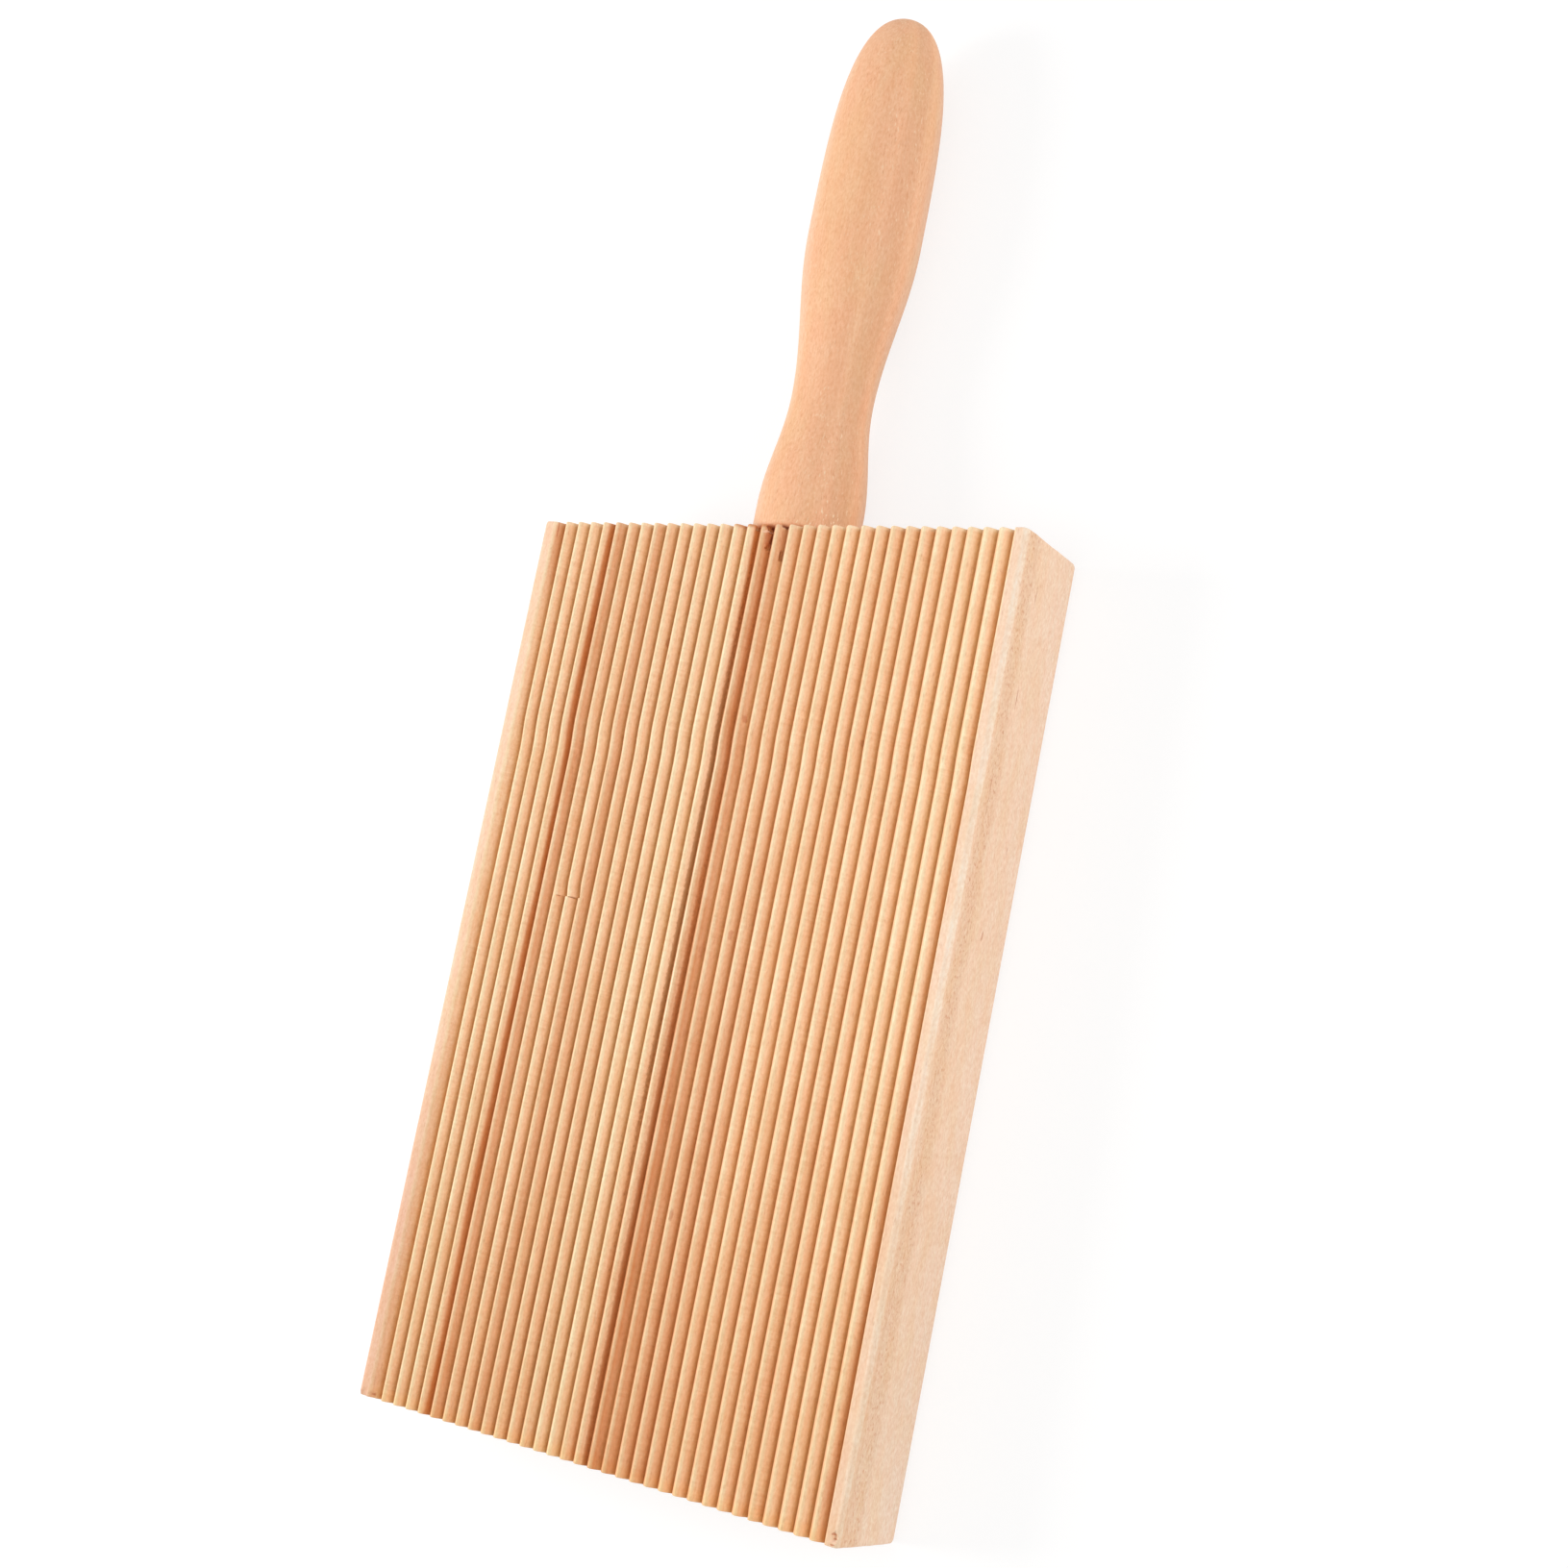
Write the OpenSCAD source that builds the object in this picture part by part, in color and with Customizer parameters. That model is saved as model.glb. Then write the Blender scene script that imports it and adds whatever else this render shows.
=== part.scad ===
// Gnocchi board: a ridged beech paddle with a turned handle glued into its end.
// The board lies on its back: +Z is the ridged face, +Y points to the handle's tip,
// and the origin is under the middle of the whole length. Millimetres.

/* [Board] */
// Length of the board along its ridges
board_length = 119; // [90:1:160]
// Width of the board across its ridges
board_width = 72.4; // [50:0.1:100]
// Thickness from the back to the ridge tops
board_thickness = 15; // [11:0.5:22]
// Rounding of the two long edges beside the ridges
front_edge_radius = 0.9; // [0.4:0.1:1.5]
// Rounding of the two long edges of the back
back_edge_radius = 1.3; // [0.4:0.1:2.5]

/* [Ridges] */
// Distance from one ridge to the next
ridge_pitch = 2.08; // [1.6:0.02:3]
// Depth of the valleys below the ridge tops
groove_depth = 1.2; // [0.8:0.1:2]
// Shape of a ridge: near 1 is a sharp roof, 2 is a parabola, more is fuller
ridge_fullness = 1.6; // [1.4:0.1:4]
// From the left edge of the board to the first valley
margin_left = 3.2; // [2.6:0.1:6]
// Least distance from the last valley to the right edge of the board
margin_right = 2.6; // [2.6:0.1:6]

/* [Handle] */
// Length of the handle outside the board
handle_length = 72.3; // [55:0.1:100]
// Diameter of the foot that sits against the board
foot_diameter = 14; // [11:0.1:18]
// Length of the straight part of the foot
foot_length = 4; // [1:0.5:8]
// Rounding of the foot's edge
foot_edge_radius = 0.5; // [0.2:0.1:1]
// Diameter of the neck, the thinnest place
neck_diameter = 10.8; // [9.5:0.1:13]
// From the board to the neck
neck_position = 19; // [14:0.5:24]
// Diameter of the belly, the thickest place
belly_diameter = 15; // [13:0.1:18]
// From the board to the belly
belly_position = 41.5; // [32:0.5:50]
// How long the swell beyond the belly stays full before it rounds off
dome_length_power = 3.4; // [2:0.1:4]
// How blunt the tip is
dome_tip_power = 2.5; // [2:0.1:3]
// How far the handle stands to the right of the board's middle
handle_offset = 1; // [0:0.1:3]

/* [Handle joint] */
// Diameter of the tenon turned on the handle
tenon_diameter = 8; // [6:0.1:10]
// Length of the tenon
tenon_length = 22; // [14:0.5:30]
// Bevel at the end of the tenon
tenon_bevel = 0.8; // [0.3:0.1:1.5]
// Glue gap round the tenon
glue_gap = 0.05; // [0.02:0.01:0.1]
// Free depth left for glue beyond the tenon
bore_relief = 1.5; // [0.5:0.5:3]

/* [Hidden] */
$fn = 96;

board_color = [0.87, 0.67, 0.46];
handle_color = [0.90, 0.71, 0.53];

// Steps in half a ridge, in an edge rounding, in each curve of the handle and in its dome
half_ridge_steps = 5;
edge_steps = 6;
curve_steps = 14;
dome_steps = 18;

// The board's handle end, and the height of the handle's axis over the table
joint_y = (board_length - handle_length) / 2;
axis_z = board_thickness / 2;
board_left = -board_width / 2;
board_right = board_width / 2;
first_valley = board_left + margin_left;
groove_count = 1 + floor((board_width - margin_left - margin_right) / ridge_pitch);
last_valley = first_valley + (groove_count - 1) * ridge_pitch;
bore_radius = tenon_diameter / 2 + glue_gap;
bore_depth = tenon_length + bore_relief;
// How far a cutter reaches past the face that it opens
cut_margin = 1;

// Depth below the ridge tops, for 0 on a ridge's crest to 1 in the valley
function ridge_drop(share) = groove_depth * pow(abs(share), ridge_fullness);

// One point of the ridged outline, at a share of half a pitch from a crest
function ridge_point(crest, share) =
    [crest + share * ridge_pitch / 2, board_thickness - ridge_drop(share)];

// Outline across the ridges, from the left land over every ridge to the right land
ridge_outline = concat(
    [for (i = [0:half_ridge_steps])
        ridge_point(first_valley - ridge_pitch / 2, i / half_ridge_steps)],
    [for (k = [0:groove_count - 2], i = [1:2 * half_ridge_steps])
        ridge_point(first_valley + (k + 0.5) * ridge_pitch, i / half_ridge_steps - 1)],
    [for (i = [1:half_ridge_steps])
        ridge_point(last_valley + ridge_pitch / 2, i / half_ridge_steps - 1)]
);

// Quarter circle round a corner, from one angle to 90 degrees less
function corner(x, z, radius, start) =
    [for (i = [0:edge_steps])
        let (a = start - 90 * i / edge_steps) [x + radius * cos(a), z + radius * sin(a)]];

// Cross section of the board, clockwise from the back left corner
board_section = concat(
    corner(board_left + back_edge_radius, back_edge_radius, back_edge_radius, 270),
    corner(board_left + front_edge_radius, board_thickness - front_edge_radius,
        front_edge_radius, 180),
    ridge_outline,
    corner(board_right - front_edge_radius, board_thickness - front_edge_radius,
        front_edge_radius, 90),
    corner(board_right - back_edge_radius, back_edge_radius, back_edge_radius, 0)
);

// Value that eases from one size to another, level at both ends
function ease(from, to, share) = from + (to - from) * (1 - cos(180 * share)) / 2;

// Turned outline between two stations of the handle, as radius and distance from the board
function turned_curve(r1, y1, r2, y2) =
    [for (i = [1:curve_steps])
        let (share = i / curve_steps) [ease(r1, r2, share), y1 + (y2 - y1) * share]];

// Swell from the belly to the tip
dome_outline = [for (i = [1:dome_steps])
    let (a = 90 * i / dome_steps)
    [belly_diameter / 2 * pow(cos(a), 2 / dome_tip_power),
        belly_position + (handle_length - belly_position) * pow(sin(a), 2 / dome_length_power)]];

// Rounded edge of the foot
foot_edge = [for (i = [0:edge_steps])
    let (a = 90 * i / edge_steps)
    [foot_diameter / 2 - foot_edge_radius * (1 - sin(a)), foot_edge_radius * (1 - cos(a))]];

handle_outline = concat(
    [[0, -tenon_length], [tenon_diameter / 2 - tenon_bevel, -tenon_length],
        [tenon_diameter / 2, -tenon_length + tenon_bevel], [tenon_diameter / 2, 0]],
    foot_edge,
    [[foot_diameter / 2, foot_length]],
    turned_curve(foot_diameter / 2, foot_length, neck_diameter / 2, neck_position),
    turned_curve(neck_diameter / 2, neck_position, belly_diameter / 2, belly_position),
    dome_outline
);

// Places its children on the handle's axis, with their Z along the handle
module on_handle_axis() {
    translate([handle_offset, joint_y, axis_z]) rotate([-90, 0, 0]) children();
}

// The board: a planed blank with a moulded face and a blind bore in its end grain
module ridged_board() {
    color(board_color)
    difference() {
        translate([0, joint_y, 0]) rotate([90, 0, 0])
            linear_extrude(height = board_length) polygon(board_section);
        on_handle_axis() translate([0, 0, -bore_depth])
            cylinder(h = bore_depth + cut_margin, r = bore_radius);
    }
}

// The handle: turned in one piece with its tenon
module handle() {
    color(handle_color)
    on_handle_axis() rotate_extrude() polygon(handle_outline);
}

ridged_board();
handle();
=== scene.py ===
import math

import bpy
import numpy as np
from mathutils import Matrix, Vector, noise
from mathutils.geometry import tessellate_polygon


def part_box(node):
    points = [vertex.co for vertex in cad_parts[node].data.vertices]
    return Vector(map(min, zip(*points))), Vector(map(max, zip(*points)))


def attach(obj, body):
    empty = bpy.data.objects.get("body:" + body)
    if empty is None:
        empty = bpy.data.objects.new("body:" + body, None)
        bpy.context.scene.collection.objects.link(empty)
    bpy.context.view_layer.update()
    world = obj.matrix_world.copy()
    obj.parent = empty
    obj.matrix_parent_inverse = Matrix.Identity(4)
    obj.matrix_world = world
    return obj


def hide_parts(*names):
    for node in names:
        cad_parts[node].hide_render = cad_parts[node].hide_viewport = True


MM = 0.001

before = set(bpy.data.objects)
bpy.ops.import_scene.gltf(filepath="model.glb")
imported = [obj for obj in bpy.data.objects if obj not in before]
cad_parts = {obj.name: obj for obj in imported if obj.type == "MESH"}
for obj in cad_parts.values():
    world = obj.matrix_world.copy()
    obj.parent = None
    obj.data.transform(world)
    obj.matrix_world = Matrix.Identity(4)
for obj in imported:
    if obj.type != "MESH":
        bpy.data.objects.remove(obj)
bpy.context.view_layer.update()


def box_mm(node):
    """Lowest and highest corner of a CAD node, in millimetres."""
    low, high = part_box(node)
    return Vector(low) / MM, Vector(high) / MM


BOARD_LOW, BOARD_HIGH = box_mm("ridged_board")
HANDLE_LOW, HANDLE_HIGH = box_mm("handle")
FREE_Y = BOARD_LOW.y
JOINT_Y = BOARD_HIGH.y
TOP_Z = BOARD_HIGH.z
AXIS_X = (HANDLE_HIGH.x + HANDLE_LOW.x) / 2
AXIS_Z = (HANDLE_HIGH.z + HANDLE_LOW.z) / 2

# Board, with the sizes of the part's source
RIDGE_PITCH = 2.08
GROOVE_COUNT = 33
GROOVE_DEPTH = 1.2
RIDGE_FULLNESS = 1.6
MARGIN_LEFT = 3.2
FRONT_LEFT_RADIUS = 0.9
BACK_RADIUS = 1.3
BORE_RADIUS = 4.05
BORE_DEPTH = 23.5
FIRST_VALLEY = BOARD_LOW.x + MARGIN_LEFT
LAST_VALLEY = FIRST_VALLEY + (GROOVE_COUNT - 1) * RIDGE_PITCH
FIRST_CREST = FIRST_VALLEY - RIDGE_PITCH / 2
LAST_CREST = LAST_VALLEY + RIDGE_PITCH / 2
# Height above which the skin belongs to the ridged face
FACE_LOW = TOP_Z - GROOVE_DEPTH - 0.05

# The board as photographed. Its right edges are rounded differently at both ends.
FRONT_RIGHT_RADII = (0.4, 0.8)
BACK_RIGHT_RADII = (1.9, 1.4)
# Ragged bevels of the two ends: inset, and depth along the board
FREE_END_BEVEL = (0.07, 0.16)
JOINT_END_BEVEL = (0.04, 0.08)
# Rings of a bevel, from the end's face: shares of its depth and of its inset
BEVEL_RINGS = ((0.0, 1.0), (0.3, 0.3), (1.0, 0.0))
# Its ragged size goes up and down about a middle, both as shares of the full size
BEVEL_MIDDLE = 0.65
BEVEL_SWING = 0.35
# Its size where a long edge meets the end: front left, front right and both back edges
FREE_CORNER_BEVELS = (0.75, 0.34, 0.85)
JOINT_CORNER_BEVELS = (0.42, 0.42, 0.60)
# That size comes in over a run from a distance to the sides, and at the back from a height
CORNER_START = 0.7
CORNER_RUN = 0.6
BACK_CORNER_HEIGHT = 2.4
BACK_CORNER_RUN = 1.2
# How far the ridges lie to the right of their regular places, at both sides of the face
RIDGE_SHIFT_LEFT = 0.10
RIDGE_SHIFT_RIGHT = 0.39
# The cutter's jog: nearer the handle than this, the ridges lie further to the left
JOG_START = -8.5
JOG_END = -3.5
JOG_SHIFT_LEFT = -0.29
JOG_SHIFT_RIGHT = -0.12
# The outer edges of the first and last grooves lie further to the left. The jog takes back
# a share of the first shift, and the last one ends at a place along X.
FIRST_CREST_SHIFT = -0.40
FIRST_CREST_JOG_SHARE = 0.7
LAST_CREST_SHIFT = -0.27
LAST_CREST_SHIFT_END = 35.4
# The nick: two valleys bend to the right on its handle side. The bend fades along the board
# over the run, and sideways within a pitch divided by the narrowness.
NICK_Y = -27.3
NICK_RUN = 2.2
NICK_SHIFT = 0.30
NICK_POWER = 1.5
NICK_NARROWNESS = 1.2
NICK_VALLEYS = (6, 7)
# Uneven ridges: how far they wander sideways, and how much they are worn by ridge and by place
RIDGE_WANDER = 0.022
RIDGE_WEAR = 0.03
RIPPLE_WEAR = 0.012
# All these faults come in over a run, beside the left edge's rounding and from a distance to
# the right side
LEFT_FAULT_RUN = 0.9
RIGHT_FAULT_START = 0.6
RIGHT_FAULT_RUN = 0.6
# Dents: middle along X and Y, half widths along X and Y, and depth
DENTS = [
    (0.16, 22.95, 0.34, 0.5, 0.6),
    (0.02, 20.45, 0.22, 0.4, 0.5),
    (2.25, 19.35, 0.22, 0.5, 0.5),
    (2.1, 23.2, 0.3, 0.35, 0.5),
    (-1.95, 23.1, 0.3, 0.45, 0.5),
    (35.55, -94.45, 0.5, 0.5, 0.35),
    (35.3, -43.3, 0.35, 0.6, 0.12),
    (-35.1, -95.2, 0.6, 0.45, 0.3),
    (-33.6, -95.4, 0.5, 0.3, 0.35),
    (23.3, -95.3, 0.4, 0.5, 0.3),
    (-20.45, -27.8, 0.3, 0.4, 0.15),
    (-19.0, -27.32, 0.5, 0.07, 0.15),
    (-21.1, -27.3, 0.35, 0.06, 0.12),
]
# Where a dent ends, in half widths, how steep its wall is, and how ragged its outline is
DENT_REACH = 1.2
DENT_STEEPNESS = 1.4
DENT_RAGGED_X = 0.10
DENT_RAGGED_Y = 0.30

# Handle, with the sizes of the part's source: radii, and distances from the board
FOOT_RADIUS = 7.0
FOOT_LENGTH = 4.0
FOOT_EDGE_RADIUS = 0.5
NECK_RADIUS = 5.4
NECK_PLACE = 19.0
BELLY_RADIUS = (HANDLE_HIGH.x - HANDLE_LOW.x) / 2
BELLY_PLACE = 41.5
HANDLE_LENGTH = HANDLE_HIGH.y - JOINT_Y
DOME_LENGTH_POWER = 3.4
DOME_TIP_POWER = 2.5
TENON_RADIUS = 4.0
TENON_LENGTH = JOINT_Y - HANDLE_LOW.y
TENON_BEVEL = 0.8
# The turned surface waves by this depth, from a distance from the board
HANDLE_WAVE = 0.03
HANDLE_WAVE_START = 1.0
HANDLE_MAP_MARGIN = 0.01

# Mesh steps
HALF_RIDGE_STEPS = 6
EDGE_STEPS = 6
LAND_STEPS = 6
SIDE_STEPS = 8
BACK_STEPS = 24
BORE_STEPS = 48
TURN_STEPS = 112
TENON_STEPS = 4
FOOT_STEPS = 4
NECK_STEPS = 24
BELLY_STEPS = 36
DOME_STEPS = 44
# Power that sets the dome's steps closer together near the belly
DOME_CROWDING = 1.7
# Stations along the board: runs of them as start, end and step, and those about the nick
STATION_RUNS = [
    (FREE_Y + 0.5, FREE_Y + 2.6, 0.3),
    (FREE_Y + 3.2, JOINT_Y - 6.5, 1.2),
    (JOINT_Y - 6.2, JOINT_Y - 0.4, 0.3),
]
NICK_STATIONS = (
    -1.0, -0.6, -0.35, -0.15, -0.09, -0.03, 0.03, 0.09, 0.18, 0.3, 0.5, 0.8, 1.2, 1.7)
LEAST_STATION_STEP = 0.05


def ease(share):
    """0 to 1, level at both ends, also for a share outside 0 to 1."""
    share = np.clip(share, 0, 1)
    return share * share * (3 - 2 * share)


def blend(start, end, share):
    """Value at a share of the way from start to end."""
    return start + (end - start) * share


def smooth_noise(x, y, z=0.0):
    """Smooth noise from about -1 to 1. Factors on the places set the size of its waves."""
    x, y, z = np.broadcast_arrays(x, y, z)
    values = [noise.noise(Vector(place)) for place in zip(x.ravel(), y.ravel(), z.ravel())]
    return np.array(values).reshape(x.shape)


def share_noise(x, y, z=0.0):
    """The same noise from about 0 to 1."""
    return 0.5 + 0.5 * smooth_noise(x, y, z)


def add_object(name, data):
    """Adds an object to the scene."""
    thing = bpy.data.objects.new(name, data)
    bpy.context.scene.collection.objects.link(thing)
    return thing


class MeshMaker:
    """Collects points in millimetres, and faces with their places on the bake's map."""

    def __init__(self):
        self.points = []
        self.faces = []
        self.places = []
        self.materials = []
        self.smooth = []

    def add_points(self, points):
        """Adds points and returns the number of the first."""
        first = len(self.points)
        self.points += [tuple(point) for point in points]
        return first

    def add_face(self, corners, places, material=0, smooth=True):
        """Adds a face, with a place on the map for each of its corners."""
        self.faces.append(tuple(corners))
        self.places += places
        self.materials.append(material)
        self.smooth.append(smooth)

    def finish(self, name, materials, sharp_degrees):
        """Makes the object, in metres."""
        mesh = bpy.data.meshes.new(name)
        mesh.from_pydata(np.array(self.points) * MM, [], self.faces)
        uv_map = mesh.uv_layers.new(name="OFBake")
        uv_map.data.foreach_set("uv", np.array(self.places, np.float32).ravel())
        for material in materials:
            mesh.materials.append(material)
        mesh.polygons.foreach_set("material_index", self.materials)
        mesh.polygons.foreach_set("use_smooth", self.smooth)
        mesh.set_sharp_from_angle(angle=math.radians(sharp_degrees))
        mesh.update()
        return add_object(name, mesh)


# Board

def quarter_circle(x, z, radius, start):
    """Quarter circle about a middle, from an angle in degrees to 90 degrees less."""
    turns = np.radians(start - 90 * np.linspace(0, 1, EDGE_STEPS + 1))
    return np.column_stack([x + radius * np.cos(turns), z + radius * np.sin(turns)])


def ridge_points(crest, shares):
    """Points of a ridge, at shares of half a pitch from its crest."""
    drop = GROOVE_DEPTH * np.abs(shares) ** RIDGE_FULLNESS
    return np.column_stack([crest + shares * RIDGE_PITCH / 2, TOP_Z - drop])


def between(start, end, steps):
    """Evenly spaced points between two points, without either of them."""
    return np.linspace(start, end, steps + 1)[1:-1]


def board_section(y):
    """Outline across the board as (x, z), clockwise from the back left corner."""
    left, right = BOARD_LOW.x, BOARD_HIGH.x
    share = (y - FREE_Y) / (JOINT_Y - FREE_Y)
    radius = blend(*FRONT_RIGHT_RADII, share)
    back_radius = blend(*BACK_RIGHT_RADII, share)
    back_left = quarter_circle(left + BACK_RADIUS, BACK_RADIUS, BACK_RADIUS, 270)
    front_left = quarter_circle(
        left + FRONT_LEFT_RADIUS, TOP_Z - FRONT_LEFT_RADIUS, FRONT_LEFT_RADIUS, 180)
    front_right = quarter_circle(right - radius, TOP_Z - radius, radius, 90)
    back_right = quarter_circle(right - back_radius, back_radius, back_radius, 0)
    half = np.linspace(0, 1, HALF_RIDGE_STEPS + 1)
    whole = np.linspace(-1, 1, 2 * HALF_RIDGE_STEPS + 1)
    first_half = ridge_points(FIRST_CREST, half)
    last_half = ridge_points(LAST_CREST, half[1:] - 1)
    ridges = [
        ridge_points(FIRST_CREST + k * RIDGE_PITCH, whole[1:]) for k in range(1, GROOVE_COUNT)]
    return np.concatenate([
        back_left,
        between(back_left[-1], front_left[0], SIDE_STEPS),
        front_left,
        between(front_left[-1], first_half[0], LAND_STEPS),
        first_half, *ridges, last_half,
        between(last_half[-1], front_right[0], LAND_STEPS),
        front_right,
        between(front_right[-1], back_right[0], SIDE_STEPS),
        back_right,
        between(back_right[-1], back_left[0], BACK_STEPS),
    ])


def board_stations():
    """Places along the board, closer together at both ends and at the nick."""
    runs = [np.arange(*run) for run in STATION_RUNS]
    kept = []
    for y in np.sort(np.concatenate([*runs, NICK_Y + np.array(NICK_STATIONS)])):
        if not kept or y - kept[-1] > LEAST_STATION_STEP:
            kept.append(y)
    return np.array(kept)


def sideways_shift(x, y):
    """How far the ridges lie from their regular places, at each point of the ridged face."""
    across = np.clip((x - FIRST_CREST) / (LAST_CREST - FIRST_CREST), 0, 1)
    jogged = ease((y - JOG_START) / (JOG_END - JOG_START))
    shift = blend(RIDGE_SHIFT_LEFT, RIDGE_SHIFT_RIGHT, across)
    shift = shift + blend(JOG_SHIFT_LEFT, JOG_SHIFT_RIGHT, across) * jogged
    first = ease((FIRST_VALLEY - x) / (FIRST_VALLEY - FIRST_CREST))
    land_left = BOARD_LOW.x + FRONT_LEFT_RADIUS
    first = first * np.clip((x - land_left) / (FIRST_CREST - land_left), 0, 1)
    shift = shift + FIRST_CREST_SHIFT * first * (1 - FIRST_CREST_JOG_SHARE * jogged)
    last = ease((x - LAST_VALLEY) / (LAST_CREST - LAST_VALLEY))
    last = last * np.clip((LAST_CREST_SHIFT_END - x) / (LAST_CREST_SHIFT_END - LAST_CREST), 0, 1)
    shift = shift + LAST_CREST_SHIFT * last
    past_nick = y - NICK_Y
    bend = np.where(past_nick > 0, ease(1 - past_nick / NICK_RUN) ** NICK_POWER, 0)
    for valley in NICK_VALLEYS:
        away = np.abs(x - FIRST_VALLEY - valley * RIDGE_PITCH) / RIDGE_PITCH
        shift = shift + NICK_SHIFT * bend * ease(1 - NICK_NARROWNESS * away)
    return shift


def dent_depth(x, y):
    """How deep the dents reach at each point of the face, with ragged outlines."""
    depth = np.zeros_like(x)
    x = x + DENT_RAGGED_X * smooth_noise(x * 4.0, y * 2.5, 7.0)
    y = y + DENT_RAGGED_Y * smooth_noise(x * 4.0, y * 2.5, 17.0)
    for dent_x, dent_y, half_x, half_y, dent in DENTS:
        away = np.hypot((x - dent_x) / half_x, (y - dent_y) / half_y)
        depth = np.maximum(depth, dent * ease(DENT_STEEPNESS * (DENT_REACH - away)))
    return depth


def outward_normals(x, z):
    """Unit normals of closed clockwise outlines, with one outline in each row."""
    along_x = np.roll(x, -1, axis=1) - np.roll(x, 1, axis=1)
    along_z = np.roll(z, -1, axis=1) - np.roll(z, 1, axis=1)
    length = np.maximum(np.hypot(along_x, along_z), 1e-9)
    return -along_z / length, along_x / length


def worn(x, y, z):
    """The skin's points with the jog, the nick, uneven ridges and dents, all cut inwards."""
    normal_x, normal_z = outward_normals(x, z)
    front = z > FACE_LOW
    left = ease((x - BOARD_LOW.x - FRONT_LEFT_RADIUS) / LEFT_FAULT_RUN)
    right = ease((BOARD_HIGH.x - RIGHT_FAULT_START - x) / RIGHT_FAULT_RUN)
    on_ridges = front * left * right
    dent = dent_depth(x, y) * front
    ridge = np.floor((x - FIRST_VALLEY) / RIDGE_PITCH)
    wander = RIDGE_WANDER * smooth_noise(ridge * 3.7, y * 0.045)
    uneven = share_noise(ridge * 5.3 + 9, y * 0.06)
    ripple = share_noise(x * 0.7, y * 0.8, 4.0)
    x = x + on_ridges * (sideways_shift(x, y) + wander) - dent * normal_x
    z = z - on_ridges * (RIDGE_WEAR * uneven + RIPPLE_WEAR * ripple) - dent * normal_z
    return x, z


def end_rings(x, z, y_end, inwards, bevel, corner_bevels):
    """The three rings of a ragged bevel, from the end's face to the long faces."""
    normal_x, normal_z = outward_normals(x[None], z[None])
    ragged = BEVEL_MIDDLE + BEVEL_SWING * smooth_noise(x * 1.9, z * 1.9, y_end)
    corner = ease((np.abs(x) - BOARD_HIGH.x + CORNER_START) / CORNER_RUN)
    front_left, front_right, back = corner_bevels
    at_corner = np.where(x < 0, front_left, front_right)
    at_corner = blend(at_corner, back, ease((BACK_CORNER_HEIGHT - z) / BACK_CORNER_RUN))
    full_inset, full_depth = (blend(size, at_corner, corner) for size in bevel)
    rings = []
    for depth, inset in BEVEL_RINGS:
        y = y_end + inwards * depth * full_depth * ragged
        away = inset * full_inset * ragged
        rings.append((x - away * normal_x[0], y, z - away * normal_z[0]))
    return rings


def board_rings():
    """Every ring of the board's skin, from the free end to the handle end, as x, y and z."""
    stations = board_stations()
    sections = np.array([board_section(y) for y in stations])
    y = np.repeat(stations[:, None], sections.shape[1], axis=1)
    x, z = worn(sections[..., 0], y, sections[..., 1])
    rings = end_rings(x[0], z[0], FREE_Y, 1, FREE_END_BEVEL, FREE_CORNER_BEVELS)
    rings += list(zip(x, y, z))
    rings += end_rings(x[-1], z[-1], JOINT_Y, -1, JOINT_END_BEVEL, JOINT_CORNER_BEVELS)[::-1]
    return [np.array(axis) for axis in zip(*rings)]


# Areas of the board's bake map: left, bottom and scale, in millimetres on a map of this size
MAP_WIDTH = 140.0
MAP_HEIGHT = 198.0
MAP_AREAS = {
    "face": (1.0, 1.0, 1.0),
    "other": (1.0, 122.0, 0.62),
    "free_end": (68.0, 122.0, 0.8),
    "handle_end": (68.0, 137.0, 0.8),
    "bore": (68.0, 152.0, 0.8),
    "bore_end": (92.0, 152.0, 0.8),
}


def on_map(area, across, along):
    """Place on the board's bake map of a point in one of its areas."""
    left, bottom, scale = MAP_AREAS[area]
    return (left + across * scale) / MAP_WIDTH, (bottom + along * scale) / MAP_HEIGHT


def add_skin(maker, x, y, z):
    """Adds the long faces and returns the numbers of the first points of both end rings."""
    rings, count = x.shape
    first = maker.add_points(np.stack([x, y, z], axis=-1).reshape(-1, 3))
    middle_x, middle_z = x[rings // 2], z[rings // 2]
    steps = np.hypot(np.roll(middle_x, -1) - middle_x, np.roll(middle_z, -1) - middle_z)
    arc = np.concatenate([[0], np.cumsum(steps)])
    face_start = EDGE_STEPS + SIDE_STEPS
    face_end = count - BACK_STEPS - EDGE_STEPS - SIDE_STEPS
    for i in range(rings - 1):
        for j in range(count):
            after = (j + 1) % count
            on_face = face_start <= j < face_end
            area = "face" if on_face else "other"
            start = arc[j] - arc[face_start if on_face else face_end]
            if not on_face:
                start %= arc[-1]
            end = start + steps[j]
            low_y, high_y = y[i, j] - FREE_Y, y[i + 1, j] - FREE_Y
            places = [on_map(area, start, low_y), on_map(area, end, y[i, after] - FREE_Y),
                      on_map(area, end, y[i + 1, after] - FREE_Y), on_map(area, start, high_y)]
            row, next_row = first + i * count, first + (i + 1) * count
            maker.add_face((row + j, row + after, next_row + after, next_row + j), places)
    return first, first + (rings - 1) * count


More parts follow.
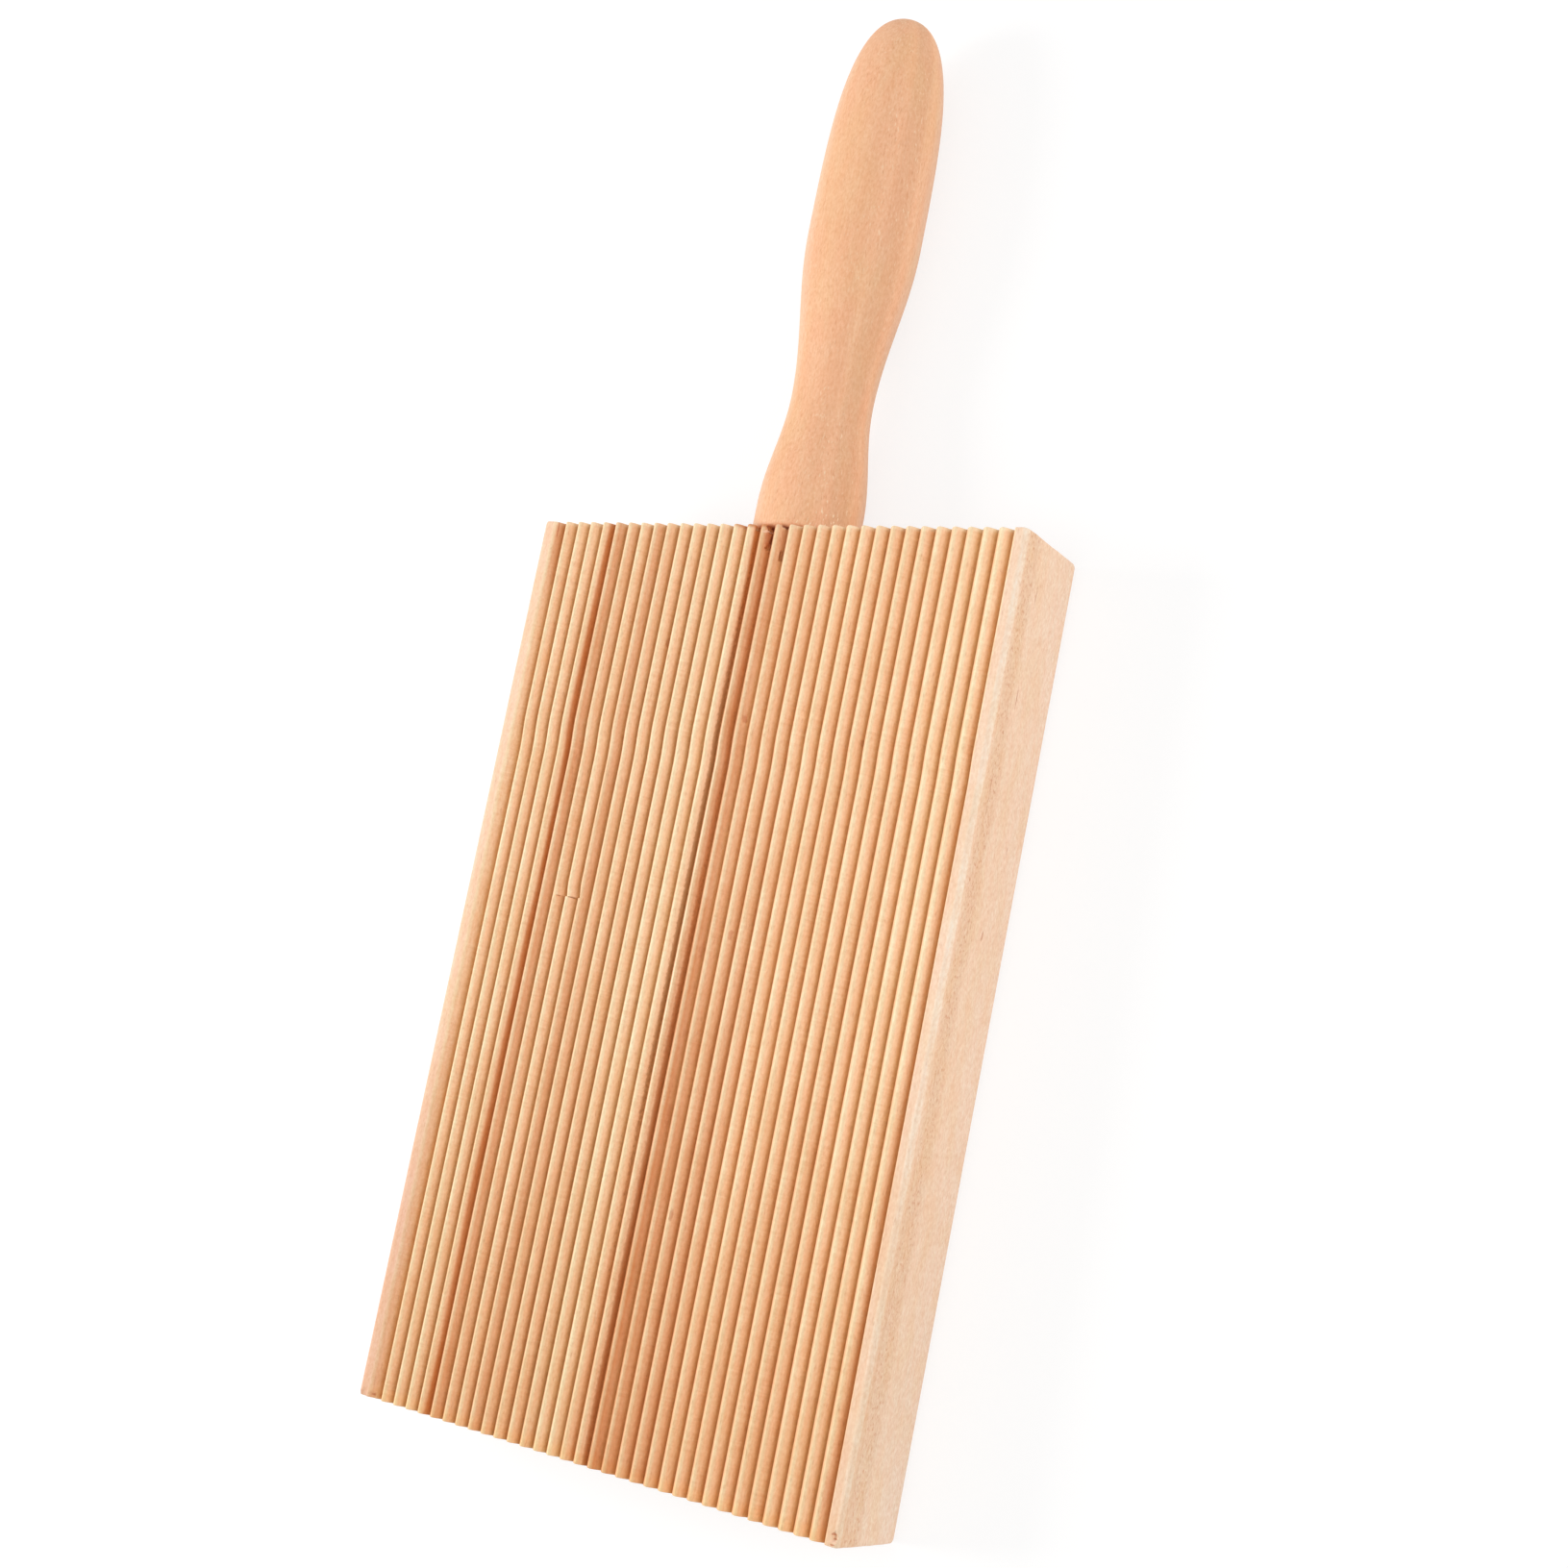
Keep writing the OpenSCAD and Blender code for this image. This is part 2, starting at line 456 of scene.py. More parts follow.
def add_end(maker, numbers, loops, area, outwards):
    """Closes an end of the board with flat triangles between its outline and the bore."""
    corners = [corner for loop in loops for corner in loop]
    for triangle in tessellate_polygon([[Vector((x, z, 0)) for x, z in loop] for loop in loops]):
        (ax, az), (bx, bz), (cx, cz) = (corners[k] for k in triangle)
        turn = (bx - ax) * (cz - az) - (bz - az) * (cx - ax)
        if turn * outwards > 0:
            triangle = triangle[::-1]
        places = [on_map(area, corners[k][0] - BOARD_LOW.x, corners[k][1]) for k in triangle]
        maker.add_face([numbers[k] for k in triangle], places, material=1, smooth=False)


def add_bore(maker, mouth, circle):
    """Adds the bore's wall and end, inside its mouth's ring of points."""
    end = maker.add_points([(x, JOINT_Y - BORE_DEPTH, z) for x, z in circle])
    middle = maker.add_points([(AXIS_X, JOINT_Y - BORE_DEPTH, AXIS_Z)])
    step = 2 * math.pi * BORE_RADIUS / BORE_STEPS
    for j in range(BORE_STEPS):
        after = (j + 1) % BORE_STEPS
        places = [on_map("bore", j * step, 0), on_map("bore", j * step, BORE_DEPTH),
                  on_map("bore", (j + 1) * step, BORE_DEPTH), on_map("bore", (j + 1) * step, 0)]
        maker.add_face((mouth + j, end + j, end + after, mouth + after), places, material=1)
        corners = [(AXIS_X, AXIS_Z), circle[after], circle[j]]
        places = [on_map("bore_end", x - AXIS_X + BORE_RADIUS, z - AXIS_Z + BORE_RADIUS)
                  for x, z in corners]
        maker.add_face((middle, end + after, end + j), places, material=1, smooth=False)


def make_board(long_grain, end_grain):
    """The ridged board, with the blind bore for the handle's tenon."""
    maker = MeshMaker()
    x, y, z = board_rings()
    free, joint = add_skin(maker, x, y, z)
    count = x.shape[1]
    add_end(maker, range(free, free + count), [list(zip(x[0], z[0]))], "free_end", -1)
    turns = np.linspace(0, 2 * np.pi, BORE_STEPS, endpoint=False)
    circle = [(AXIS_X + BORE_RADIUS * math.cos(a), AXIS_Z + BORE_RADIUS * math.sin(a))
              for a in turns]
    mouth = maker.add_points([(a, JOINT_Y, b) for a, b in circle])
    numbers = [*range(joint, joint + count), *range(mouth, mouth + BORE_STEPS)]
    add_end(maker, numbers, [list(zip(x[-1], z[-1])), circle], "handle_end", 1)
    add_bore(maker, mouth, circle)
    return maker.finish("board", [long_grain, end_grain], sharp_degrees=38)


# Handle

def eased_outline(start, end, steps):
    """Outline that eases from one (distance, radius) to another, without the first."""
    shares = np.linspace(0, 1, steps + 1)[1:]
    level = (1 - np.cos(np.pi * shares)) / 2
    return np.column_stack([blend(start[0], end[0], shares), blend(start[1], end[1], level)])


def handle_outline():
    """Turned outline as (distance from the board, radius), from the tenon to near the tip."""
    tenon_rings = np.linspace(TENON_BEVEL - TENON_LENGTH, 0, TENON_STEPS + 1)
    tenon = [(-TENON_LENGTH, TENON_RADIUS - TENON_BEVEL), *[(d, TENON_RADIUS) for d in tenon_rings]]
    turns = np.linspace(0, np.pi / 2, EDGE_STEPS + 1)
    edge = np.column_stack([
        FOOT_EDGE_RADIUS * (1 - np.cos(turns)),
        FOOT_RADIUS - FOOT_EDGE_RADIUS * (1 - np.sin(turns))])
    foot = between(edge[-1], (FOOT_LENGTH, FOOT_RADIUS), FOOT_STEPS)
    neck = eased_outline((FOOT_LENGTH, FOOT_RADIUS), (NECK_PLACE, NECK_RADIUS), NECK_STEPS)
    belly = eased_outline((NECK_PLACE, NECK_RADIUS), (BELLY_PLACE, BELLY_RADIUS), BELLY_STEPS)
    rise = np.pi / 2 * np.linspace(0, 1, DOME_STEPS + 1)[1:-1] ** DOME_CROWDING
    dome = np.column_stack([
        BELLY_PLACE + (HANDLE_LENGTH - BELLY_PLACE) * np.sin(rise) ** (2 / DOME_LENGTH_POWER),
        BELLY_RADIUS * np.cos(rise) ** (2 / DOME_TIP_POWER)])
    return np.concatenate(
        [tenon, edge, foot, [(FOOT_LENGTH, FOOT_RADIUS)], neck, belly, dome])


def handle_points(outline):
    """Points of the handle's rings, which wave a little outside the board."""
    turns = np.linspace(0, 2 * np.pi, TURN_STEPS, endpoint=False)
    distance, turn = np.meshgrid(outline[:, 0], turns, indexing="ij")
    radius = np.repeat(outline[:, 1:], TURN_STEPS, axis=1)
    wave = share_noise(np.cos(turn) * 0.6, distance * 0.05, np.sin(turn) * 0.6)
    radius = radius - np.where(distance > HANDLE_WAVE_START, HANDLE_WAVE * wave, 0)
    points = np.stack([
        AXIS_X + radius * np.sin(turn), JOINT_Y + distance, AXIS_Z + radius * np.cos(turn)], -1)
    return points.reshape(-1, 3)


def make_handle(material):
    """The handle and its tenon, turned in one piece."""
    outline = handle_outline()
    maker = MeshMaker()
    maker.add_points(handle_points(outline))
    tenon_end = maker.add_points([(AXIS_X, HANDLE_LOW.y, AXIS_Z)])
    tip = maker.add_points([(AXIS_X, HANDLE_HIGH.y, AXIS_Z)])
    steps = np.hypot(*np.diff(outline, axis=0).T)
    first_step, last_step = outline[0, 1], HANDLE_LENGTH - outline[-1, 0] + outline[-1, 1]
    arc = first_step + np.concatenate([[0], np.cumsum(steps)])
    length = arc[-1] + last_step
    inner = 1 - 2 * HANDLE_MAP_MARGIN

    def place(j, along):
        return (HANDLE_MAP_MARGIN + inner * j / TURN_STEPS,
                HANDLE_MAP_MARGIN + inner * along / length)

    rings = len(outline)
    for j in range(TURN_STEPS):
        after = (j + 1) % TURN_STEPS
        for i in range(rings - 1):
            row, next_row = i * TURN_STEPS, (i + 1) * TURN_STEPS
            places = [place(j, arc[i]), place(j + 1, arc[i]),
                      place(j + 1, arc[i + 1]), place(j, arc[i + 1])]
            maker.add_face((row + j, row + after, next_row + after, next_row + j), places)
        row = (rings - 1) * TURN_STEPS
        places = [place(j, arc[-1]), place(j + 1, arc[-1]), place(j + 0.5, length)]
        maker.add_face((row + j, row + after, tip), places)
        places = [place(j + 1, arc[0]), place(j, arc[0]), place(j + 0.5, 0)]
        maker.add_face((after, j, tenon_end), places, smooth=False)
    return maker.finish("turned_handle", [material], sharp_degrees=35)


# Materials

def linear(red, green, blue):
    """Blender's colour for sRGB values from 0 to 255."""
    values = []
    for value in (red / 255, green / 255, blue / 255):
        values.append(value / 12.92 if value <= 0.04045 else ((value + 0.055) / 1.055) ** 2.4)
    return (*values, 1.0)


WOOD_SPECULAR = 0.3
# Share of a band's half width that has its full strength
BAND_CORE = 0.25


def connect(tree, node, inputs):
    """Gives a node's inputs, by name or number, a link or a plain value."""
    for key, value in inputs.items():
        if isinstance(value, bpy.types.NodeSocket):
            tree.links.new(value, node.inputs[key])
        else:
            node.inputs[key].default_value = value


def add_node(tree, kind, inputs, **settings):
    """Adds a shader node with its settings and inputs."""
    node = tree.nodes.new("ShaderNode" + kind)
    for name, value in settings.items():
        setattr(node, name, value)
    connect(tree, node, inputs)
    return node


class MaterialMaker:
    """Builds one material's nodes, in millimetres, and holds its colour while it is painted."""

    def __init__(self, name, colour, origin=(0, 0, 0)):
        self.colour = colour
        self.material = bpy.data.materials.new(name)
        self.material.use_nodes = True
        self.tree = self.material.node_tree
        texture = self.node("TexCoord", {})
        self.place = self.vector("SCALE", texture.outputs["Object"], Scale=1 / MM)
        if any(origin):
            self.place = self.vector("SUBTRACT", self.place, origin)
        self.x, self.y, self.z = self.node("SeparateXYZ", {0: self.place}).outputs

    def node(self, kind, inputs, **settings):
        return add_node(self.tree, kind, inputs, **settings)

    def math(self, operation, *values, clamp=False):
        inputs = dict(enumerate(values))
        return self.node("Math", inputs, operation=operation, use_clamp=clamp).outputs[0]

    def vector(self, operation, *values, **named):
        node = self.node("VectorMath", dict(enumerate(values)) | named, operation=operation)
        return node.outputs["Value" if operation == "LENGTH" else "Vector"]

    def scaled(self, value, factor, plus):
        """Value times a factor, plus another value."""
        return self.math("MULTIPLY_ADD", value, factor, plus)

    def ramp(self, value, start, end, low=0.0, high=1.0):
        """Goes smoothly from low at start to high at end, and stays level beyond them."""
        inputs = {"Value": value, "From Min": start, "From Max": end, "To Min": low, "To Max": high}
        return self.node("MapRange", inputs, interpolation_type="SMOOTHSTEP").outputs[0]

    def noise(self, size, detail=2.0, offset=0.0, place=None):
        """Noise from 0 to 1, about 0.5, whose grains have this size along X, Y and Z."""
        scale = tuple(1 / length for length in size)
        place = self.vector("MULTIPLY", place or self.place, scale)
        if offset:
            place = self.vector("ADD", place, (offset, offset * 0.7, offset * 1.3))
        inputs = {"Vector": place, "Scale": 1.0, "Detail": detail}
        return self.node("TexNoise", inputs).outputs["Fac"]

    def patches(self, size, start, full, detail=1.0, offset=0.0):
        """Patches of this size: 0 where their noise is below start, and 1 above full."""
        return self.ramp(self.noise(size, detail, offset), start, full)

    def combined(self, *values):
        """Vector made of values."""
        return self.node("CombineXYZ", dict(enumerate(values))).outputs[0]

    def mix(self, share, first, second):
        """Colour between two colours."""
        inputs = {"Factor": share, "A": first, "B": second}
        return self.node("Mix", inputs, data_type="RGBA").outputs["Result"]

    def over(self, colour, *shares):
        """Paints another colour over the colour so far, by the product of shares."""
        self.colour = self.mix(self.product(*shares), self.colour, colour)

    def tint(self, factors, *shares):
        """Multiplies the colour's red, green and blue, by the product of shares."""
        self.over(self.vector("MULTIPLY", self.colour, factors), *shares)

    def tone(self, *tones):
        """Makes the colour lighter or darker by tones near 1, and redder where it is darker."""
        tone = self.product(*tones)
        powers = [self.math("POWER", tone, power) for power in TONE_POWERS]
        self.colour = self.vector("MULTIPLY", self.colour, self.combined(*powers))

    def swing(self, value, amount, middle=0.5):
        """Factor about 1 that goes amount up or down as the value leaves its middle by 1."""
        return self.scaled(value, amount, 1 - amount * middle)

    def product(self, *values):
        result = values[0]
        for value in values[1:]:
            result = self.math("MULTIPLY", result, value)
        return result

    def band(self, value, middle, half):
        """1 at the middle, fading to 0 at this distance on both sides."""
        away = self.math("ABSOLUTE", self.math("SUBTRACT", value, middle))
        return self.ramp(away, half, half * BAND_CORE)

    def relief(self, *layers):
        """Sum of layers, each a value and the millimetres by which it stands out."""
        total = 0.0
        for value, height in layers:
            total = self.scaled(value, height, total)
        return total

    def finish(self, roughness, height):
        """Connects the colour, the roughness and a relief that is given in millimetres."""
        bump = self.node("Bump", {"Distance": MM, "Height": height})
        connect(self.tree, self.tree.nodes["Principled BSDF"], {
            "Base Color": self.colour, "Roughness": roughness,
            "Specular IOR Level": WOOD_SPECULAR, "Normal": bump.outputs[0]})
        return self.material


LAND_COLOUR = linear(250, 217, 188)
LEFT_LAND_COLOUR = linear(250, 212, 181)
# Pale flecks of the right side, and the painted highlight along the right arris
PALE_FLECK_AND_HIGHLIGHT_COLOUR = linear(255, 235, 212)
# Crests paler, partly by wear and partly as a painted highlight
CREST_WEAR_AND_HIGHLIGHT_COLOUR = linear(254, 229, 187)
FLANK_COLOUR = linear(250, 206, 165)
# Painted shade of the valleys, darker on the left
VALLEY_SHADE_COLOUR = linear(238, 188, 127)
LEFT_VALLEY_SHADE_COLOUR = linear(222, 175, 115)
TAN_COLOUR = linear(240, 196, 140)
TIP_COLOUR = linear(255, 228, 192)
STREAK_COLOUR = linear(204, 115, 46)
SPOT_COLOUR = linear(186, 84, 36)
# Painted shade in the torn hollows
HOLE_SHADE_COLOUR = linear(128, 46, 0)
SPLINTER_COLOUR = linear(252, 206, 176)
DASH_COLOUR = linear(214, 148, 112)
END_COLOUR = linear(226, 176, 134)
HANDLE_COLOUR = linear(246, 190, 149)
# Factors on red, green and blue
# Painted shade: the face darker towards the free end
FREE_END_SHADE_TINT = (0.935, 0.87, 0.8)
FREE_TIP_TINT = (1.03, 0.98, 0.88)
LEFT_END_TINT = (0.93, 0.88, 0.92)
PINK_TINT = (1.0, 0.95, 0.93)
LIGHT_TINT = (1.03, 1.12, 1.18)
DARK_LINE_TINT = (0.68, 0.61, 0.52)
PALE_LINE_TINT = (1.12, 1.34, 1.55)
SIDE_BAND_TINT = (0.93, 0.88, 0.82)
SIDE_LOW_TINT = (1.0, 1.03, 1.08)
SIDE_END_TINT = (0.94, 0.96, 0.97)
# Painted shade on the handle next to the board
JOINT_SHADE_TINT = (0.88, 0.76, 0.7)
# Painted shade of the darker band along the handle
HANDLE_SHADE_TINT = (0.89, 0.875, 0.86)
# Painted sheen of the handle's sides
HANDLE_SHEEN_TINT = (0.97, 1.07, 1.2)
# Darker wood is also redder: powers of a tone for red, green and blue
TONE_POWERS = (0.5, 1.0, 1.5)

# Where a look of the board begins and where it is full: by depth below the crests, for the crests'
# painted highlight and the valleys' painted shade, ...
FLANK_DEPTHS = (0.0, 0.3)
# Painted shade of the valleys, by depth
VALLEY_SHADE_DEPTHS = (0.35, 1.2)
# ... by height, ...
RIDGES_Z = (TOP_Z - GROOVE_DEPTH - 0.4, TOP_Z - GROOVE_DEPTH - 0.2)
# Painted shade towards the free end, by height
FREE_END_SHADE_Z = (TOP_Z - 1.9, TOP_Z - 1.5)
FRONT_Z = (TOP_Z - 2.0, TOP_Z - 1.6)
STREAK_Z = (TOP_Z - 0.02, TOP_Z - 0.3)
SIDE_BAND_LOW_Z = (10.8, 12.9)
SIDE_BAND_HIGH_Z = (16.0, 14.2)
SIDE_LOW_Z = (8.5, 3.0)
# ... across the board, and for the painted highlight of the right arris by X and Z together, ...
FIRST_RIDGE_X = (FIRST_CREST - 0.7, FIRST_CREST + 0.1)
LAST_RIDGE_X = (LAST_CREST + 0.1, LAST_CREST - 0.2)
LEFT_END_X = (FIRST_VALLEY, FIRST_CREST)
# Painted shade of the valleys is darker towards this side
LEFT_VALLEY_SHADE_X = (5.0, -9.0)
RIGHT_LAND_X = (-10.0, 10.0)
RIGHT_SIDE_X = (BOARD_HIGH.x - 0.3, BOARD_HIGH.x - 0.06)
ARRIS_HIGHLIGHT_XZ = (BOARD_HIGH.x + TOP_Z - 0.8, BOARD_HIGH.x + TOP_Z - 0.5)
# ... along the board, ...
# Painted shade towards the free end, along the board
FREE_END_SHADE_Y = (-20.0, FREE_Y)
FREE_TIP_Y = (FREE_Y + 2.2, FREE_Y + 0.6)
LEFT_END_Y = (-35.0, -75.0)
SIDE_END_Y = (-40.0, -90.0)
JOINT_TIP_Y = (JOINT_Y - 0.6, JOINT_Y - 0.15)
# ... and by squared distance from a spot, in half widths
SPOT_FADE = (1.6, 0.3)
# Middle and half width of the dark ridge tips over the handle
BY_HANDLE = (AXIS_X - 3.2, 5.0)
# The darker band of the right side waves by this height and rises by this slope
SIDE_BAND_WAVE = 2.0
SIDE_BAND_SLOPE = -0.009

# Values of noises between which warmer patches begin and are full
BLUSH = (0.35, 0.65)
BOARD_TAN = (0.42, 0.66)
HANDLE_TAN = (0.4, 0.7)
# Shares of the colours that are mixed in
# Share of the painted highlight along the right arris
ARRIS_HIGHLIGHT_SHARE = 0.8
TAN_SHARE = 0.2
FLECK_SHARE = 0.16
DASH_SHARE = 0.6
PALE_SHARE = 0.36
TIP_SHARE = 0.55
DARK_TIP_SHARE = 0.75
HANDLE_TAN_SHARE = 0.25
HANDLE_FLECK_SHARE = 0.28
HANDLE_PALE_SHARE = 0.6
FOOT_PALE_SHARE = 0.45
# How far the streaks wave sideways, how patchy they are, and their share on the crests
STREAK_WAVE = 0.6
STREAK_PATCHINESS = 0.8
STREAK_CREST_SHARE = 0.4
# How ragged the outlines of spots are, and how far the cutter's marks slant
SPOT_RAGGEDNESS = 2.4
CHATTER_SLANT = 0.06
# Swings of the tone by noises, on the ridged face and how much more on the right side
FIBRE_SWING = (0.17, -0.13)
SPECKLE_SWING = (0.44, 0.14)
# Roughness: how much a noise adds, and the least value
LONG_ROUGHNESS = (0.15, 0.58)
END_ROUGHNESS = (0.1, 0.68)
HANDLE_ROUGHNESS = (0.15, 0.5)

# Growth rings of the end grain: the tree's heart, the rings' pitch, how far they bend, and
# the shares of the pitch between which the late wood begins and ends
HEART = (-18.0, 0.0, -46.0)
GROWTH_PITCH = 2.7
GROWTH_BEND = 2.5
LATE_WOOD_START = (0.55, 0.95)
LATE_WOOD_END = (1.0, 0.96)

# Angles round the handle's axis, in radians from +Z towards +X. The first is the side that
# the photo shows, and the others count from it.
HANDLE_FRONT = 0.56
# The band of painted shade: middle, half width and wave
HANDLE_SHADE_MIDDLE = 0.56
HANDLE_SHADE_HALF = 0.36
HANDLE_SHADE_WAVE = 0.35
# Where the painted sheen of the paler sides begins and is full
HANDLE_SHEEN_ANGLES = (0.95, 1.3)
# Pale flecks: middle, where they begin and are full, and their least share
PALE_FLECKS_MIDDLE = 0.25
PALE_FLECKS = (0.75, 0.35)
PALE_FLECKS_LEAST = 0.35
# Distances from the board: the foot's pale flecks, the painted shade by the joint and that shade's
# wave
HANDLE_FOOT = (5.5, 1.0)
HANDLE_JOINT_SHADE = (1.5, 0.8)
HANDLE_JOINT_SHADE_WAVE = 1.4

# Darker streaks of the ridged face: middle, half width, strength at the handle end,
# strength further on, and the place along the board where the second one is reached
STREAKS = [
    (-0.8, 1.15, 0.62, 0.08, FREE_Y),
    (-2.0, 0.4, 0.85, 0.15, -15.0),
    (0.05, 0.36, 0.6, 0.62, FREE_Y),
    (1.3, 1.15, 0.46, 0.74, -60.0),
    (3.4, 1.1, 0.08, 0.5, -70.0),
    (7.6, 4.6, 0.06, 0.26, -70.0),
    (-24.9, 0.42, 0.75, 0.7, FREE_Y),
    (-23.55, 1.05, 0.5, 0.48, FREE_Y),
    (-21.4, 0.95, 0.16, 0.14, FREE_Y),
    (-17.2, 0.95, 0.38, 0.26, FREE_Y),
    (-15.3, 0.95, 0.14, 0.16, FREE_Y),
    (-33.4, 0.7, 0.45, 0.0, 5.0),
    (33.5, 0.8, 0.0, 0.2, -60.0),
]
# Lighter bands of the ridged face, in the same form
LIGHT_BANDS = [
    (-6.0, 5.0, 0.45, 1.0, FREE_Y),
    (-28.8, 3.6, 0.1, 0.85, FREE_Y),
    (31.0, 6.0, 0.6, 0.4, FREE_Y),
]
# Small dark spots of the ridged face: middle and half widths along X and Y, and strength.
# Like the streaks, they lie where the ridges would be without their shift.
SPOTS = [
    (-12.3, 7.4, 0.16, 0.7, 0.35), (-11.2, 5.2, 0.13, 0.5, 0.3),
    (1.9, -2.0, 0.2, 0.5, 0.4), (6.0, -29.2, 0.2, 0.6, 0.3),
    (5.7, -64.0, 0.2, 0.8, 0.4), (17.1, -2.6, 0.18, 0.5, 0.4),
    (18.9, -3.9, 0.16, 0.4, 0.35), (2.1, -31.5, 0.2, 1.1, 0.2),
    (2.1, -42.0, 0.2, 0.9, 0.15), (2.1, -52.5, 0.2, 1.3, 0.2),
    (33.0, -90.0, 0.3, 2.0, 0.15), (-20.5, -28.0, 0.18, 0.4, 0.35),
    (-33.62, 22.3, 0.07, 1.1, 0.6), (-33.9, -95.2, 0.25, 0.15, 0.5),
    (-33.0, -95.1, 0.15, 0.22, 0.45), (-32.4, -95.2, 0.2, 0.15, 0.45),
    (35.05, -94.2, 0.24, 0.15, 0.6), (35.35, -94.7, 0.24, 0.1, 0.6),
    (35.15, -95.4, 0.3, 0.1, 0.6), (0.1, 21.7, 0.42, 1.5, 0.45),
    (2.2, 21.4, 0.36, 1.9, 0.3),
]
# Torn places, dark with painted shade in their hollows, in the same form
SHADED_HOLES = [
    (-19.0, -27.33, 0.36, 0.07, 0.5), (-21.1, -27.3, 0.24, 0.06, 0.25),
    (0.02, 23.1, 0.38, 0.28, 0.95), (0.22, 21.3, 0.13, 1.05, 0.8),
    (2.5, 19.45, 0.11, 0.42, 0.8), (2.1, 23.25, 0.3, 0.24, 0.9),
    (-1.74, 23.28, 0.26, 0.25, 0.9),
]
# Dark lines in two valleys of the middle streak, and a pale line on the crest between
# them, in the same form
DARK_LINES = [(-2.02, -21.0, 0.18, 36.0, 1.0), (0.05, -66.0, 0.28, 42.0, 0.5)]
PALE_LINES = [(-1.02, -21.0, 0.24, 36.0, 0.9)]
# Pale splinters near the handle, and in the chip at the right corner of the free end
SPLINTERS = [
    (-0.55, 22.38, 0.3, 0.13, 0.9), (-0.2, 22.55, 0.3, 0.11, 0.9),
    (35.15, -95.02, 0.42, 0.16, 0.8),
]
# Short dark dashes of the right side: middle along Y and Z, half widths, and strength
SIDE_DASHES = [
    (16.3, 9.94, 1.02, 0.16, 0.35),
    (3.8, 10.0, 1.24, 0.13, 0.5),
    (-7.2, 12.42, 1.03, 0.16, 0.3),
    (-24.4, 7.53, 0.58, 0.2, 0.45),
    (-13.7, 5.14, 0.59, 0.15, 0.25),
]


def spot_mask(wood, x, y, spots, ragged):
    """Strength of the spots at a place, with outlines made ragged by noise."""
    total = None
    for spot_x, spot_y, half_x, half_y, strength in spots:
        across = wood.math("DIVIDE", wood.math("SUBTRACT", x, spot_x), half_x)
        along = wood.math("DIVIDE", wood.math("SUBTRACT", y, spot_y), half_y)
        away = wood.math("ADD", wood.math("POWER", across, 2), wood.math("POWER", along, 2))
        away = wood.math("MULTIPLY", away, ragged)
        spot = wood.ramp(away, *SPOT_FADE, 0.0, strength)
        total = spot if total is None else wood.math("MAXIMUM", total, spot)
    return total


def regular_place(wood):
    """Place across the ridges as it would be without their shift and the jog."""
    across = wood.math("SUBTRACT", wood.x, FIRST_CREST)
    across = wood.math("DIVIDE", across, LAST_CREST - FIRST_CREST, clamp=True)
    jogged = wood.ramp(wood.y, JOG_START, JOG_END)
    jog = wood.scaled(across, JOG_SHIFT_RIGHT - JOG_SHIFT_LEFT, JOG_SHIFT_LEFT)
    shift = wood.scaled(across, RIDGE_SHIFT_RIGHT - RIDGE_SHIFT_LEFT, RIDGE_SHIFT_LEFT)
    return wood.math("SUBTRACT", wood.x, wood.scaled(jog, jogged, shift))


def paint_lands(wood, on_side):
    """The lands beside the ridges with a painted highlight on the right arris, and the right side
    with its band, dashes and pale flecks.
    """
    wood.over(LAND_COLOUR, wood.ramp(wood.x, *RIGHT_LAND_X))
    # Painted highlight along the right arris
    wood.over(PALE_FLECK_AND_HIGHLIGHT_COLOUR, wood.ramp(wood.math("ADD", wood.x, wood.z), *ARRIS_HIGHLIGHT_XZ), ARRIS_HIGHLIGHT_SHARE)
    wave = wood.noise((30, 16, 30), offset=51)
    height = wood.scaled(wood.y, SIDE_BAND_SLOPE, wood.scaled(wave, SIDE_BAND_WAVE, wood.z))
    band = wood.product(wood.ramp(height, *SIDE_BAND_LOW_Z), wood.ramp(height, *SIDE_BAND_HIGH_Z))
    grain = wood.patches((0.32, 0.60, 0.30), 0.54, 0.68, detail=2, offset=61)
    pale = wood.patches((0.28, 0.50, 0.26), 0.56, 0.70, detail=2, offset=65)
    wood.tint(SIDE_BAND_TINT, band, on_side)
    wood.tint(SIDE_LOW_TINT, wood.ramp(wood.z, *SIDE_LOW_Z), on_side)
    wood.tint(SIDE_END_TINT, wood.ramp(wood.y, *SIDE_END_Y), on_side)
    wood.over(PALE_FLECK_AND_HIGHLIGHT_COLOUR, pale, on_side, PALE_SHARE)
    wood.over(DASH_COLOUR, grain, band, on_side, DASH_SHARE)


def paint_ridges(wood, on_ridges):
    """Crests paler by wear and by a painted highlight, peach flanks, and painted shade in the
    valleys that deepens with depth and is darker on the left.
    """
    depth = wood.math("SUBTRACT", TOP_Z, wood.z)
    # Painted shade colour of the valleys, darker on the left
    valley = wood.mix(wood.ramp(wood.x, *LEFT_VALLEY_SHADE_X), VALLEY_SHADE_COLOUR, LEFT_VALLEY_SHADE_COLOUR)
    # Painted highlight with some wear: pale crests; then painted shade deepening into the valleys
    wood.over(CREST_WEAR_AND_HIGHLIGHT_COLOUR, on_ridges)
    wood.over(FLANK_COLOUR, on_ridges, wood.ramp(depth, *FLANK_DEPTHS))
    wood.over(valley, on_ridges, wood.ramp(depth, *VALLEY_SHADE_DEPTHS))


